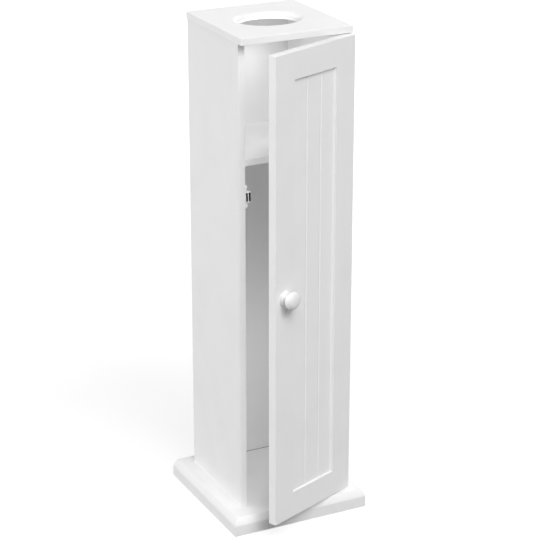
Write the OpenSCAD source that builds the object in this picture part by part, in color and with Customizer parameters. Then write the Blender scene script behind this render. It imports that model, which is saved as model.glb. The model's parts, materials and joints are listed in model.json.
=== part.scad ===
// Tall narrow bathroom cabinet for spare toilet rolls, painted white.
// A moulded plinth carries a square carcass with a shelf, a thin back and a top with an oval opening.
// The door is one routed board, hung on two nested flush hinges at the right.
// Origin: centre of the plinth's underside. +Z up, the door faces -Y. Millimetres.

/* [Carcass] */
// Width across the outer faces of the two side panels
carcass_w = 180; // [150:1:240]
// Depth of the side panels, front to back
carcass_d = 178; // [150:1:240]
// Height of the side panels, from the plinth to the top panel
side_h = 749; // [600:1:900]
// Thickness of the side panels
side_t = 11; // [9:0.5:14]
// Radius of the eased edges of the boards
edge_r = 1; // [0.5:0.25:2]

/* [Plinth] */
// Overall height of the plinth
plinth_h = 30; // [26:1:45]
// Height of the upright face below the moulding
plinth_face_h = 18; // [10:1:22]
// How far the moulding leans in over its height
moulding_in = 6; // [4:0.5:12]
// Radius of the moulding's gentle curve
moulding_r = 55; // [30:1:150]
// How far the plinth stands out at each side
plinth_side_out = 26; // [15:1:40]
// How far the plinth stands out in front of the side panels
plinth_front_out = 34.5; // [30:0.5:60]
// How far the plinth stands out behind the side panels
plinth_back_out = 28.5; // [15:0.5:40]

/* [Top] */
// Thickness of the top panel
top_t = 11; // [9:0.5:18]
// How far the top stands out at each side
top_side_out = 1.5; // [1:0.5:6]
// How far the top stands out in front of the side panels
top_front_out = 14.5; // [8:0.5:24]
// How far the top stands out behind the side panels
top_back_out = 0.5; // [0:0.5:6]
// Width of the oval opening at the underside of the top
opening_w = 99; // [70:1:118]
// Depth of the oval opening at the underside of the top
opening_d = 81; // [60:1:118]
// Radius of the rounded rim of the opening
rim_r = 7; // [3:0.5:8]

/* [Shelf] */
// Clear height of the compartment above the shelf
upper_bay_h = 178.5; // [120:0.5:300]
// Thickness of the shelf
shelf_t = 11; // [9:0.5:16]
// How far the shelf stands back from the front of the side panels
shelf_setback = 8; // [2:0.5:30]

/* [Back panel] */
// Thickness of the back panel
back_t = 3; // [2.5:0.5:5]
// How far the rebate for the back panel is cut into each side panel
rebate_w = 5; // [4:0.5:6]
// Play between the back panel and the boards round it
back_play = 0.2; // [0.1:0.05:0.5]
// Shadow gap in front of the back panel, where its rebates are deeper than the panel is thick
back_reveal = 1.2; // [0:0.1:2]
// Gap between the back panel and the plinth
gap_under_back = 0.8; // [0.1:0.1:2]
// Pins down each side of the back panel
side_pins = 6; // [3:1:10]

/* [Door] */
// Thickness of the door
door_t = 14; // [13:0.5:20]
// How far each side of the door stands in from the outside of the side panels
door_side_in = 1; // [0:0.5:3]
// Gap between the closed door and the side panels
door_gap = 1.7; // [1.7:0.1:2.5]
// Gap above the door
gap_over_door = 2; // [1.5:0.1:6]
// Gap below the door
gap_under_door = 2; // [1:0.1:6]
// Width of the flat border round the routed field
border_w = 42; // [36:1:55]
// Depth of the routed field
field_depth = 4; // [2:0.5:5]
// Planks that the V grooves divide the field into
planks = 3; // [2:1:5]
// Width of a V groove at the surface of the field
groove_w = 4; // [2:0.5:6]
// Depth of a V groove below the field
groove_depth = 1; // [0.5:0.25:3]
// Radius of the door's eased edges
door_edge_r = 1; // [0.5:0.25:3]
// Angle at which the door stands open
door_open = 22; // [0:1:110]

/* [Knob] */
// Diameter of the knob's head
knob_d = 28; // [26:1:38]
// Thickness of the knob's head, front to back
knob_head_t = 16.5; // [12:0.5:18]
// Distance from the door to the front of the knob
knob_reach = 23.5; // [23:0.5:34]
// Diameter of the foot against the door
knob_foot_d = 24.5; // [20:0.5:25]
// Thickness of the foot
knob_foot_t = 3; // [2:0.5:4]
// Diameter of the neck
knob_neck_d = 14; // [10:1:15]

/* [Hinges] */
// Height of a hinge
hinge_h = 40; // [36:1:60]
// Distance from the end of the door to the middle of a hinge
hinge_inset = 95; // [50:1:180]
// Thickness of the leaves
leaf_t = 1.5; // [1:0.1:1.5]
// Height of the inner leaf, which nests in the outer one
inner_leaf_h = 22; // [20:1:24]
// Width of the outer leaf on the door
outer_leaf_w = 20; // [18:0.5:24]
// Play between the nested leaves
nest_play = 0.4; // [0.3:0.1:0.8]
// Diameter of the knuckles
knuckle_d = 5; // [4.6:0.1:5.2]
// Diameter of the hinge pin
hinge_pin_d = 2.6; // [2:0.1:2.8]
// Radial clearance of the pin in the knuckles
pin_play = 0.05; // [0.02:0.01:0.08]

/* [Magnetic catch] */
// Distance from the shelf down to the middle of the catch
catch_drop = 46.5; // [24:0.5:120]
// Height of the catch's body
catch_body_h = 21; // [18:0.5:26]
// How far the catch stands out from the side panel
catch_w = 11.5; // [10.5:0.5:15]
// Depth of the catch's body
catch_depth = 14; // [12:1:20]
// Height over the two screw ears
catch_ears_h = 36; // [34:1:46]
// Thickness of the ears
catch_ear_t = 3; // [2.5:0.5:4]
// Height of the pole plates and the magnet
pole_h = 14; // [8:1:15]
// Thickness of a pole plate
pole_t = 1.6; // [1:0.1:2]
// Thickness of the magnet between the pole plates
magnet_t = 2.6; // [2:0.1:3]
// Thickness of the strike plate on the door
strike_t = 1.2; // [0.8:0.1:1.2]
// Width of the strike plate
strike_w = 12; // [10:0.5:14]
// Height of the strike plate
strike_h = 30; // [24:1:40]
// Air left between the strike plate and the poles when the door is shut
catch_air = 0.3; // [0.2:0.05:0.4]

/* [Fixings] */
// Diameter of the dowels
dowel_d = 6; // [5:0.5:6.5]
// Length of the dowels
dowel_len = 20; // [16:1:26]
// Depth to which a dowel enters a board through its face
dowel_bite = 6.5; // [4:0.5:7]
// Diameter of the screws through the plinth
plinth_screw_d = 4; // [3:0.5:4.5]
// Length of the screws through the plinth
plinth_screw_len = 50; // [42:1:60]
// Depth of the recess that hides the plinth screw heads
plinth_recess = 3; // [1:0.5:5]
// Distance of dowels and plinth screws from the front and back edges
fixing_inset = 35; // [25:1:55]
// Diameter of the small screws of hinges, catch and strike plate
small_screw_d = 2.5; // [2:0.1:2.8]
// Diameter of the screw that holds the knob
knob_screw_d = 4; // [3:0.5:5]
// Diameter of the pins in the back panel
pin_d = 1.4; // [1:0.1:1.8]
// Length of the pins in the back panel
pin_len = 15; // [12:1:20]
// Clearance round a fixing in its hole
fixing_play = 0.1; // [0.05:0.01:0.15]

/* [Hidden] */
$fn = 48;

// How far a cutting shape runs past the face it cuts
over = 1;

// Colours
paint_white = [0.93, 0.93, 0.92];
knob_white = [0.95, 0.95, 0.94];
hardboard_white = [0.90, 0.90, 0.89];
plastic_white = [0.92, 0.92, 0.90];
beech = [0.80, 0.66, 0.47];
steel = [0.70, 0.71, 0.72];
black_steel = [0.10, 0.10, 0.11];
ferrite = [0.20, 0.20, 0.21];

// Plinth and carcass, seen in plan and in height
plinth_w = carcass_w + 2 * plinth_side_out;
plinth_d = carcass_d + plinth_front_out + plinth_back_out;
front_y = -plinth_d / 2 + plinth_front_out;
back_y = front_y + carcass_d;
outer_x = carcass_w / 2;
inner_x = outer_x - side_t;
carcass_top = plinth_h + side_h;

// Back panel in its rebates
back_inner_y = back_y - back_play - back_t;
rebate_d = back_t + back_play + back_reveal;
back_w = 2 * (inner_x + rebate_w - back_play);

// Shelf
shelf_top = carcass_top - upper_bay_h;
shelf_front_y = front_y + shelf_setback;
shelf_mid_z = shelf_top - shelf_t / 2;

// Top panel
top_w = carcass_w + 2 * top_side_out;
top_d = carcass_d + top_front_out + top_back_out;
top_mid_y = (front_y - top_front_out + back_y + top_back_out) / 2;

// Door, drawn shut
door_w = carcass_w - 2 * door_side_in;
door_z = plinth_h + gap_under_door;
door_h = side_h - gap_under_door - gap_over_door;
door_back_y = front_y - door_gap;
door_face_y = door_back_y - door_t;
field_w = door_w - 2 * border_w;
field_h = door_h - 2 * border_w;
knob_x = -door_w / 2 + border_w / 2;
knob_z = door_z + door_h / 2;

// Hinges: the axis lies in the middle of the door gap, just outside the right side panel
knuckle_air = 0.3;
axis_out = knuckle_d / 2 + knuckle_air;
axis_x = outer_x + axis_out;
axis_y = front_y - door_gap / 2;
inner_leaf_margin = 1;
inner_leaf_w = side_t - inner_leaf_margin;
hinge_heights = [door_z + hinge_inset, door_z + door_h - hinge_inset];
inner_screw_x = -axis_out - inner_leaf_w / 2;
inner_screw_z = inner_leaf_h / 4;
outer_screw_x = -axis_out - (inner_leaf_w + nest_play + outer_leaf_w) / 2;
outer_screw_z = hinge_h / 3;

// Small screws
small_head_d = 2 * small_screw_d - 0.2;
small_head_h = (small_head_d - small_screw_d) / 2;
frame_screw_len = 12;
door_screw_len = 10;
catch_screw_len = 9;
strike_screw_len = 9;

// Catch: two pole plates with the magnet between them, in a housing on the left side panel
catch_z = shelf_top - shelf_t - catch_drop;
pole_front_y = door_back_y + strike_t + catch_air;
pole_proud = 0.5;
catch_front_y = pole_front_y + pole_proud;
catch_back_y = catch_front_y + catch_depth;
pole_back_y = catch_back_y - 2;
catch_wall = 1.2;
catch_ear_inset = 2;
catch_ear_r = 3;
catch_ear_z = (catch_ears_h + catch_body_h) / 4;
slot_play = 0.1;
stack_t = 2 * pole_t + magnet_t;
stack_off_centre = 0.8;
stack_x = -inner_x + (catch_w - stack_t) / 2 - stack_off_centre;
layer_x = [stack_x, stack_x + pole_t, stack_x + pole_t + magnet_t];
layer_t = [pole_t, magnet_t, pole_t];
layer_front_y = [pole_front_y, catch_front_y + catch_wall, pole_front_y];
strike_x = stack_x + stack_t / 2;

// Fixings
plinth_head_d = 2 * plinth_screw_d;
plinth_head_h = (plinth_head_d - plinth_screw_d) / 2;
fixing_x = inner_x + side_t / 2;
fixing_rows = [front_y + fixing_inset, back_y - fixing_inset];
top_dowel_z = carcass_top + dowel_bite - dowel_len / 2;
shelf_dowel_x = inner_x + dowel_bite - dowel_len / 2;
pin_head_d = 2 * pin_d;
pin_head_t = 0.6;
pin_x = inner_x + rebate_w / 2;
pin_end_inset = 25;
pin_pitch = (side_h - 2 * pin_end_inset) / (side_pins - 1);
knob_head_d = 2 * knob_screw_d;
knob_head_h = 2.4;
knob_screw_bite = 13;

// ---------- shared shapes ----------

module rounded_rect(w, h, r) {
    square([w - 2 * r, h], center = true);
    square([w, h - 2 * r], center = true);
    for (x = [-1, 1], y = [-1, 1])
        translate([x * (w / 2 - r), y * (h / 2 - r)]) circle(r);
}

// A board with all its edges eased to radius r, standing on z = 0
module eased_board(w, d, h, r) {
    intersection() {
        linear_extrude(h) rounded_rect(w, d, r);
        translate([-w / 2, 0, h / 2]) rotate([90, 0, 90]) linear_extrude(w) rounded_rect(d, h, r);
        translate([0, d / 2, h / 2]) rotate([90, 0, 0]) linear_extrude(d) rounded_rect(w, h, r);
    }
}

// Countersunk wood screw: head face at z = 0, point towards -Z. A gap above 0 grows it to its hole.
module wood_screw(d, head_d, head_h, len, gap = 0) {
    point_h = d;
    top = gap > 0 ? over : 0;
    rotate_extrude()
        polygon([
            [0, top], [head_d / 2 + gap, top], [head_d / 2 + gap, 0],
            [d / 2 + gap, -head_h - gap], [d / 2 + gap, -len + point_h], [0, -len - gap]
        ]);
}

// The cross that the driver turns, sunk in a screw head whose face is at z = 0
module cross_recess(head_d, depth) {
    slot_l = head_d * 0.56;
    slot_w = head_d * 0.14;
    for (a = [0, 90])
        rotate([0, 0, a])
            translate([-slot_l / 2, -slot_w / 2, -depth]) cube([slot_l, slot_w, depth + over]);
}

module driven_screw(d, head_d, head_h, len) {
    difference() {
        wood_screw(d, head_d, head_h, len);
        cross_recess(head_d, head_h * 0.8);
    }
}

module small_screw(len) {
    driven_screw(small_screw_d, small_head_d, small_head_h, len);
}

module small_screw_hole(len) {
    wood_screw(small_screw_d, small_head_d, small_head_h, len, fixing_play);
}

// Dowel along Z with both ends chamfered, or its hole where gap is above 0
module dowel(gap = 0) {
    chamfer = 0.8;
    r = dowel_d / 2 + gap;
    half = dowel_len / 2 + gap;
    rotate_extrude()
        polygon([[0, half], [r - chamfer, half], [r, half - chamfer], [r, -half + chamfer],
                 [r - chamfer, -half], [0, -half]]);
}

// ---------- where the fixings are ----------

module at_top_dowels() {
    for (x = [-fixing_x, fixing_x], y = fixing_rows)
        translate([x, y, top_dowel_z]) children();
}

module at_shelf_dowels() {
    for (side = [-1, 1], y = fixing_rows)
        translate([side * shelf_dowel_x, y, shelf_mid_z]) rotate([0, 90, 0]) children();
}

// Head faces lie plinth_recess above the floor, points up
module at_base_screws() {
    for (x = [-fixing_x, fixing_x], y = fixing_rows)
        translate([x, y, plinth_recess]) rotate([180, 0, 0]) children();
}

module at_back_pins() {
    for (side = [-1, 1], i = [0 : side_pins - 1])
        translate([side * pin_x, back_y - back_play, plinth_h + pin_end_inset + i * pin_pitch])
            rotate([-90, 0, 0]) children();
    for (side = [-1, 1])
        translate([side * inner_x / 2, back_y - back_play, shelf_mid_z])
            rotate([-90, 0, 0]) children();
}

module at_hinge(z) {
    translate([axis_x, axis_y, z]) children();
}

module at_inner_leaf_screws() {
    for (s = [-1, 1])
        translate([inner_screw_x, door_gap / 2 - leaf_t, s * inner_screw_z])
            rotate([90, 0, 0]) children();
}

module at_outer_leaf_screws() {
    for (s = [-1, 1])
        translate([outer_screw_x, -door_gap / 2 + leaf_t, s * outer_screw_z])
            rotate([-90, 0, 0]) children();
}

module at_catch_screws() {
    for (s = [-1, 1])
        translate([-inner_x + catch_ear_t, (catch_front_y + catch_back_y) / 2, catch_z + s * catch_ear_z])
            rotate([0, 90, 0]) children();
}

module at_strike_screw() {
    translate([strike_x, door_back_y + strike_t, catch_z]) rotate([-90, 0, 0]) children();
}

module at_knob() {
    translate([knob_x, door_face_y, knob_z]) rotate([90, 0, 0]) children();
}

// Turns what is drawn on the shut door to where the door stands
module swung() {
    translate([axis_x, axis_y, 0]) rotate([0, 0, door_open]) translate([-axis_x, -axis_y, 0]) children();
}

// ---------- carcass ----------

// Section of the plinth: upright face, then a moulding that leans in on a gentle arc
module plinth_section(w) {
    moulding_h = plinth_h - plinth_face_h;
    chord = sqrt(moulding_in * moulding_in + moulding_h * moulding_h);
    sink = sqrt(moulding_r * moulding_r - chord * chord / 4);
    centre_x = w / 2 - moulding_in / 2 - sink * moulding_h / chord;
    centre_z = plinth_face_h + moulding_h / 2 - sink * moulding_in / chord;
    difference() {
        translate([-w / 2, 0]) square([w, plinth_h]);
        for (flip = [0, 1])
            mirror([flip, 0]) difference() {
                translate([w / 2 - moulding_in, plinth_face_h])
                    square([moulding_in + over, moulding_h + over]);
                translate([centre_x, centre_z]) circle(moulding_r);
            }
    }
}

module base_plinth() {
    color(paint_white) difference() {
        intersection() {
            translate([0, plinth_d / 2, 0]) rotate([90, 0, 0]) linear_extrude(plinth_d)
                plinth_section(plinth_w);
            translate([-plinth_w / 2, 0, 0]) rotate([90, 0, 90]) linear_extrude(plinth_w)
                plinth_section(plinth_d);
        }
        at_base_screws() {
            wood_screw(plinth_screw_d, plinth_head_d, plinth_head_h, plinth_screw_len, fixing_play);
            cylinder(h = plinth_recess + over, d = plinth_head_d + 2 * fixing_play);
        }
    }
}

// side is -1 on the left and 1 on the right
module side_panel(side) {
    difference() {
        translate([side * fixing_x, (front_y + back_y) / 2, plinth_h])
            linear_extrude(side_h) rounded_rect(side_t, carcass_d, edge_r);
        translate([side * inner_x, back_y, plinth_h + side_h / 2])
            cube([2 * rebate_w, 2 * rebate_d, side_h + 2 * over], center = true);
        at_top_dowels() dowel(fixing_play);
        at_shelf_dowels() dowel(fixing_play);
        at_base_screws()
            wood_screw(plinth_screw_d, plinth_head_d, plinth_head_h, plinth_screw_len, fixing_play);
        at_back_pins() panel_pin(fixing_play);
    }
}

module left_side_panel() {
    color(paint_white) difference() {
        side_panel(-1);
        at_catch_screws() small_screw_hole(catch_screw_len);
    }
}

module right_side_panel() {
    color(paint_white) difference() {
        side_panel(1);
        for (z = hinge_heights)
            at_hinge(z) at_inner_leaf_screws() small_screw_hole(frame_screw_len);
    }
}

module back_panel() {
    color(hardboard_white) difference() {
        translate([-back_w / 2, back_inner_y, plinth_h + gap_under_back])
            cube([back_w, back_t, side_h - gap_under_back - back_play]);
        at_back_pins() panel_pin(fixing_play);
    }
}

// Points of one level of the oval opening, grown outwards by out
function oval_ring(out, z, steps) = [
    for (i = [0 : steps - 1])
        [(opening_w / 2 + out) * cos(360 * i / steps), (opening_d / 2 + out) * sin(360 * i / steps), z]
];

// The oval opening through the top panel, with a quarter round all along its upper edge
module oval_opening() {
    steps = 72;
    arc_steps = 8;
    levels = concat(
        [[0, -over]],
        [for (k = [0 : arc_steps]) let (a = 90 * k / arc_steps)
            [rim_r * (1 - cos(a)), top_t - rim_r * (1 - sin(a))]],
        [[rim_r, top_t + over]]
    );
    points = [for (level = levels) each oval_ring(level[0], level[1], steps)];
    last = len(levels) - 1;
    walls = [for (k = [0 : last - 1], i = [0 : steps - 1]) let (j = (i + 1) % steps)
        each [[k * steps + i, (k + 1) * steps + i, (k + 1) * steps + j],
              [k * steps + i, (k + 1) * steps + j, k * steps + j]]];
    floor_face = [[for (i = [0 : steps - 1]) i]];
    roof_face = [[for (i = [steps - 1 : -1 : 0]) last * steps + i]];
    polyhedron(points, concat(walls, floor_face, roof_face));
}

module top_panel() {
    color(paint_white) difference() {
        translate([0, top_mid_y, carcass_top]) eased_board(top_w, top_d, top_t, edge_r);
        translate([0, top_mid_y, carcass_top]) oval_opening();
        at_top_dowels() dowel(fixing_play);
    }
}

module shelf() {
    shelf_d = back_inner_y - shelf_front_y;
    color(paint_white) difference() {
        translate([-inner_x, shelf_front_y + shelf_d / 2, shelf_mid_z])
            rotate([90, 0, 90]) linear_extrude(2 * inner_x) rounded_rect(shelf_d, shelf_t, edge_r);
        at_shelf_dowels() dowel(fixing_play);
        at_back_pins() panel_pin(fixing_play);
    }
}

// ---------- fixings of the carcass ----------

module top_dowels() {
    color(beech) at_top_dowels() dowel();
}

module shelf_dowels() {
    color(beech) at_shelf_dowels() dowel();
}

module base_screws() {
    color(steel) at_base_screws()
        driven_screw(plinth_screw_d, plinth_head_d, plinth_head_h, plinth_screw_len);
}

// Pin with its flat head on z = 0 and its point towards -Z, or its hole where gap is above 0
module panel_pin(gap = 0) {
    rotate_extrude()
        polygon([
            [0, pin_head_t + gap], [pin_head_d / 2 + gap, pin_head_t + gap], [pin_head_d / 2 + gap, 0],
            [pin_d / 2 + gap, 0], [pin_d / 2 + gap, -pin_len + pin_d], [0, -pin_len - gap]
        ]);
}

module back_panel_pins() {
    color(steel) at_back_pins() panel_pin();
}

// ---------- magnetic catch ----------

// Layer 0 is the pole plate next to the side panel, layer 1 the magnet, layer 2 the outer pole plate
module catch_layer(layer) {
    translate([layer_x[layer], layer_front_y[layer], catch_z - pole_h / 2])
        cube([layer_t[layer], pole_back_y - layer_front_y[layer], pole_h]);
}

// Slot for one layer, open at the back of the housing for assembly
module catch_slot(layer) {
    slot_front_y = layer_front_y[layer] - slot_play;
    translate([layer_x[layer] - slot_play, slot_front_y, catch_z - pole_h / 2 - slot_play])
        cube([layer_t[layer] + 2 * slot_play, catch_back_y + over - slot_front_y, pole_h + 2 * slot_play]);
}

module catch_housing() {
    body_mid_y = (catch_front_y + catch_back_y) / 2;
    color(plastic_white) difference() {
        union() {
            translate([-inner_x + catch_w / 2, body_mid_y, catch_z - catch_body_h / 2])
                eased_board(catch_w, catch_depth, catch_body_h, edge_r);
            translate([-inner_x, body_mid_y, catch_z]) rotate([0, 90, 0]) linear_extrude(catch_ear_t)
                rounded_rect(catch_ears_h, catch_depth - 2 * catch_ear_inset, catch_ear_r);
        }
        for (layer = [0 : 2]) catch_slot(layer);
        at_catch_screws() small_screw_hole(catch_screw_len);
    }
}

module catch_magnet() {
    color(ferrite) catch_layer(1);
}

module catch_pole_plates() {
    color(black_steel) for (layer = [0, 2]) catch_layer(layer);
}

module catch_screws() {
    color(steel) at_catch_screws() small_screw(catch_screw_len);
}

// ---------- hinges, drawn shut with the pin on the Z axis ----------

module knuckle(z0, z1) {
    translate([0, 0, z0]) cylinder(h = z1 - z0, d = knuckle_d);
}

module pin_bore() {
    cylinder(h = hinge_h + 2 * over, r = hinge_pin_d / 2 + pin_play, center = true);
}

// Leaf plate from the pin out to reach, with its outer corners rounded
module leaf_plate(reach, h) {
    corner_r = 2;
    rotate([90, 0, 0]) linear_extrude(leaf_t, center = true) {
        translate([-reach + corner_r, -h / 2]) square([reach - corner_r, h]);
        translate([-reach, -h / 2 + corner_r]) square([reach, h - 2 * corner_r]);
        for (s = [-1, 1])
            translate([-reach + corner_r, s * (h / 2 - corner_r)]) circle(corner_r);
    }
}

// Small leaf, screwed to the front edge of the side panel
module frame_leaf() {
    difference() {
        union() {
            translate([0, (door_gap - leaf_t) / 2, 0]) leaf_plate(axis_out + inner_leaf_w, inner_leaf_h);
            knuckle(-inner_leaf_h / 2, inner_leaf_h / 2);
        }
        pin_bore();
        at_inner_leaf_screws() small_screw_hole(frame_screw_len);
    }
}

// Large leaf, screwed to the back of the door, with the window that the small leaf nests in
module door_leaf() {
    window_w = axis_out + inner_leaf_w + nest_play;
    window_h = inner_leaf_h + 2 * nest_play;
    difference() {
        union() {
            translate([0, -(door_gap - leaf_t) / 2, 0]) leaf_plate(axis_out + outer_leaf_w, hinge_h);
            knuckle(-hinge_h / 2, hinge_h / 2);
        }
        translate([-window_w, -knuckle_d, -window_h / 2])
            cube([window_w + knuckle_d, 2 * knuckle_d, window_h]);
        pin_bore();
        at_outer_leaf_screws() small_screw_hole(door_screw_len);
    }
}

// Pin with a shallow domed head at each end
module hinge_pin() {
    head_h = 0.8;
    head_r = hinge_pin_d / 2 + 0.6;
    cylinder(h = hinge_h, d = hinge_pin_d, center = true);
    for (s = [0, 1])
        mirror([0, 0, s]) translate([0, 0, hinge_h / 2]) rotate_extrude()
            polygon([[0, 0], [head_r, 0], [head_r, head_h * 0.4], [head_r * 0.6, head_h], [0, head_h]]);
}

module lower_hinge_frame_leaf() {
    color(steel) at_hinge(hinge_heights[0]) frame_leaf();
}

module upper_hinge_frame_leaf() {
    color(steel) at_hinge(hinge_heights[1]) frame_leaf();
}

module lower_hinge_pin() {
    color(steel) at_hinge(hinge_heights[0]) hinge_pin();
}

module upper_hinge_pin() {
    color(steel) at_hinge(hinge_heights[1]) hinge_pin();
}

module hinge_frame_screws() {
    color(steel) for (z = hinge_heights)
        at_hinge(z) at_inner_leaf_screws() small_screw(frame_screw_len);
}

module lower_hinge_door_leaf() {
    color(steel) swung() at_hinge(hinge_heights[0]) door_leaf();
}

module upper_hinge_door_leaf() {
    color(steel) swung() at_hinge(hinge_heights[1]) door_leaf();
}

module hinge_door_screws() {
    color(steel) swung() for (z = hinge_heights)
        at_hinge(z) at_outer_leaf_screws() small_screw(door_screw_len);
}

// ---------- door ----------

// V grooves between the planks, from end to end of the field
module plank_grooves() {
    pitch = field_w / planks;
    for (i = [1 : planks - 1])
        translate([-field_w / 2 + i * pitch, door_face_y + field_depth, door_z + border_w])
            linear_extrude(field_h)
                polygon([[-groove_w / 2, -over], [-groove_w / 2, 0], [0, groove_depth],
                         [groove_w / 2, 0], [groove_w / 2, -over]]);
}

module door_panel() {
    color(paint_white) swung() difference() {
        translate([0, door_back_y - door_t / 2, door_z]) eased_board(door_w, door_t, door_h, door_edge_r);
        translate([-field_w / 2, door_face_y - over, door_z + border_w])
            cube([field_w, field_depth + over, field_h]);
        plank_grooves();
        for (z = hinge_heights)
            at_hinge(z) at_outer_leaf_screws() small_screw_hole(door_screw_len);
        at_strike_screw() small_screw_hole(strike_screw_len);
        at_knob() translate([0, 0, -door_t - over])
            cylinder(h = door_t + 2 * over, d = knob_screw_d + 2 * fixing_play);
    }
}

// Half outline of the turned knob, from the door (z = 0) to the crown
function knob_outline() =
    let (
        head_z = knob_reach - knob_head_t / 2,
        neck_r = knob_neck_d / 2,
        foot_r = knob_foot_d / 2,
        meet = asin(neck_r / (knob_d / 2)),
        cove_z = head_z - knob_head_t / 2 * cos(meet),
        fillet_r = 1.8,
        fillet_steps = 6,
        head_steps = 20
    )
    concat(
        [[0, 0], [foot_r, 0]],
        [for (k = [0 : fillet_steps]) let (a = 90 * k / fillet_steps)
            [foot_r - fillet_r * (1 - cos(a)), knob_foot_t - fillet_r * (1 - sin(a))]],
        [for (k = [0 : fillet_steps]) let (a = 90 * k / fillet_steps)
            [neck_r + fillet_r * (1 - sin(a)), knob_foot_t + fillet_r * (1 - cos(a))]],
        [[neck_r, cove_z]],
        [for (k = [0 : head_steps]) let (a = 180 - meet - (180 - meet) * k / head_steps)
            [knob_d / 2 * sin(a), head_z + knob_head_t / 2 * cos(a)]]
    );

module door_knob() {
    color(knob_white) swung() at_knob() difference() {
        rotate_extrude($fn = 64) polygon(knob_outline());
        translate([0, 0, -over])
            cylinder(h = over + knob_screw_bite + fixing_play, d = knob_screw_d + 2 * fixing_play);
    }
}

// Pan head on the back of the door, shank through the door into the knob
module knob_screw() {
    color(steel) swung() at_knob() difference() {
        union() {
            translate([0, 0, -door_t]) cylinder(h = door_t + knob_screw_bite, d = knob_screw_d);
            translate([0, 0, -door_t]) mirror([0, 0, 1]) rotate_extrude()
                polygon([[0, 0], [knob_head_d / 2, 0], [knob_head_d / 2, knob_head_h * 0.5],
                         [knob_head_d * 0.36, knob_head_h], [0, knob_head_h]]);
        }
        translate([0, 0, -door_t - knob_head_h]) mirror([0, 0, 1])
            cross_recess(knob_head_d, knob_head_h * 0.6);
    }
}

module strike_plate() {
    corner_r = 1.5;
    color(steel) swung() difference() {
        translate([strike_x, door_back_y + strike_t, catch_z]) rotate([90, 0, 0])
            linear_extrude(strike_t) rounded_rect(strike_w, strike_h, corner_r);
        at_strike_screw() small_screw_hole(strike_screw_len);
    }
}

module strike_screw() {
    color(steel) swung() at_strike_screw() small_screw(strike_screw_len);
}

base_plinth();
left_side_panel();
right_side_panel();
back_panel();
top_panel();
shelf();
top_dowels();
shelf_dowels();
base_screws();
back_panel_pins();
catch_housing();
catch_magnet();
catch_pole_plates();
catch_screws();
upper_hinge_frame_leaf();
lower_hinge_frame_leaf();
upper_hinge_pin();
lower_hinge_pin();
hinge_frame_screws();
door_panel();
door_knob();
knob_screw();
upper_hinge_door_leaf();
lower_hinge_door_leaf();
hinge_door_screws();
strike_plate();
strike_screw();
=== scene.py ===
import json
import math

import bmesh
import bpy
from mathutils import Matrix, Vector


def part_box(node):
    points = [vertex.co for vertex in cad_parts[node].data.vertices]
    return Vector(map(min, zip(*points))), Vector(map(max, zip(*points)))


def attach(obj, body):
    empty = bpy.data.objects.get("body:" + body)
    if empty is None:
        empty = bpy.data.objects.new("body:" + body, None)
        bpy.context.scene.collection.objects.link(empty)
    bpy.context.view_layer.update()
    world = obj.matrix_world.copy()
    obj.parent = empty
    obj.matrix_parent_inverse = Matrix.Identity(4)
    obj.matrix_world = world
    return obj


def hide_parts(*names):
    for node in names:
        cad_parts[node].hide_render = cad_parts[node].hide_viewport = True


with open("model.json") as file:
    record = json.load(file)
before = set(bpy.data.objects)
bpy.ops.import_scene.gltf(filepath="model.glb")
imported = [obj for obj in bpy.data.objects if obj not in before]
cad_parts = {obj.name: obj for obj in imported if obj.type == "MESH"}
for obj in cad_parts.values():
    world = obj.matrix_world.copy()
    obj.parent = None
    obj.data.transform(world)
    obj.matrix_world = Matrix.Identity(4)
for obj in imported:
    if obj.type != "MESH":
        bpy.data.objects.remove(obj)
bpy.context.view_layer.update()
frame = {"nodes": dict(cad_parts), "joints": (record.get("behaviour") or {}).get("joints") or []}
print("frame loaded:", len(frame["nodes"]), "nodes")

mm = 0.001  # in metres


def hexToLinear(hexCode):
    channels = [int(hexCode[i:i + 2], 16) / 255 for i in (0, 2, 4)]
    linear = [c / 12.92 if c <= 0.04045 else ((c + 0.055) / 1.055) ** 2.4 for c in channels]
    return (*linear, 1.0)


def addNode(tree, kind, settings=None, values=None, links=None):
    # one node with its settings, its socket values and the links that feed it
    node = tree.nodes.new(kind)
    for name, value in (settings or {}).items():
        setattr(node, name, value)
    for name, value in (values or {}).items():
        node.inputs[name].default_value = value
    for name, source in (links or {}).items():
        tree.links.new(source, node.inputs[name])
    return node


def newMaterial(name):
    material = bpy.data.materials.new(name)
    material.use_nodes = True
    material.node_tree.nodes.clear()
    return material, material.node_tree


def addObject(name, data):
    obj = bpy.data.objects.new(name, data)
    bpy.context.scene.collection.objects.link(obj)
    return obj


def directionAt(azimuth, elevation):
    # from the cabinet towards a place so many degrees round it and so many up
    azimuth, elevation = math.radians(azimuth), math.radians(elevation)
    return Vector((math.sin(azimuth) * math.cos(elevation),
                   -math.cos(azimuth) * math.cos(elevation), math.sin(elevation)))


camera = {
    "azimuth": -26.478, "elevation": 20.859, "roll": -0.0186,  # degrees
    "distance": 3.0152, "aside": 0.003995, "height": 0.38626,  # metres, of the point looked at
    "focalPixels": 1921.36, "imagePixels": 540, "sensorWidth": 36,  # the last in millimetres
    "nearest": 0.05, "furthest": 50,  # metres
}


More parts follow.
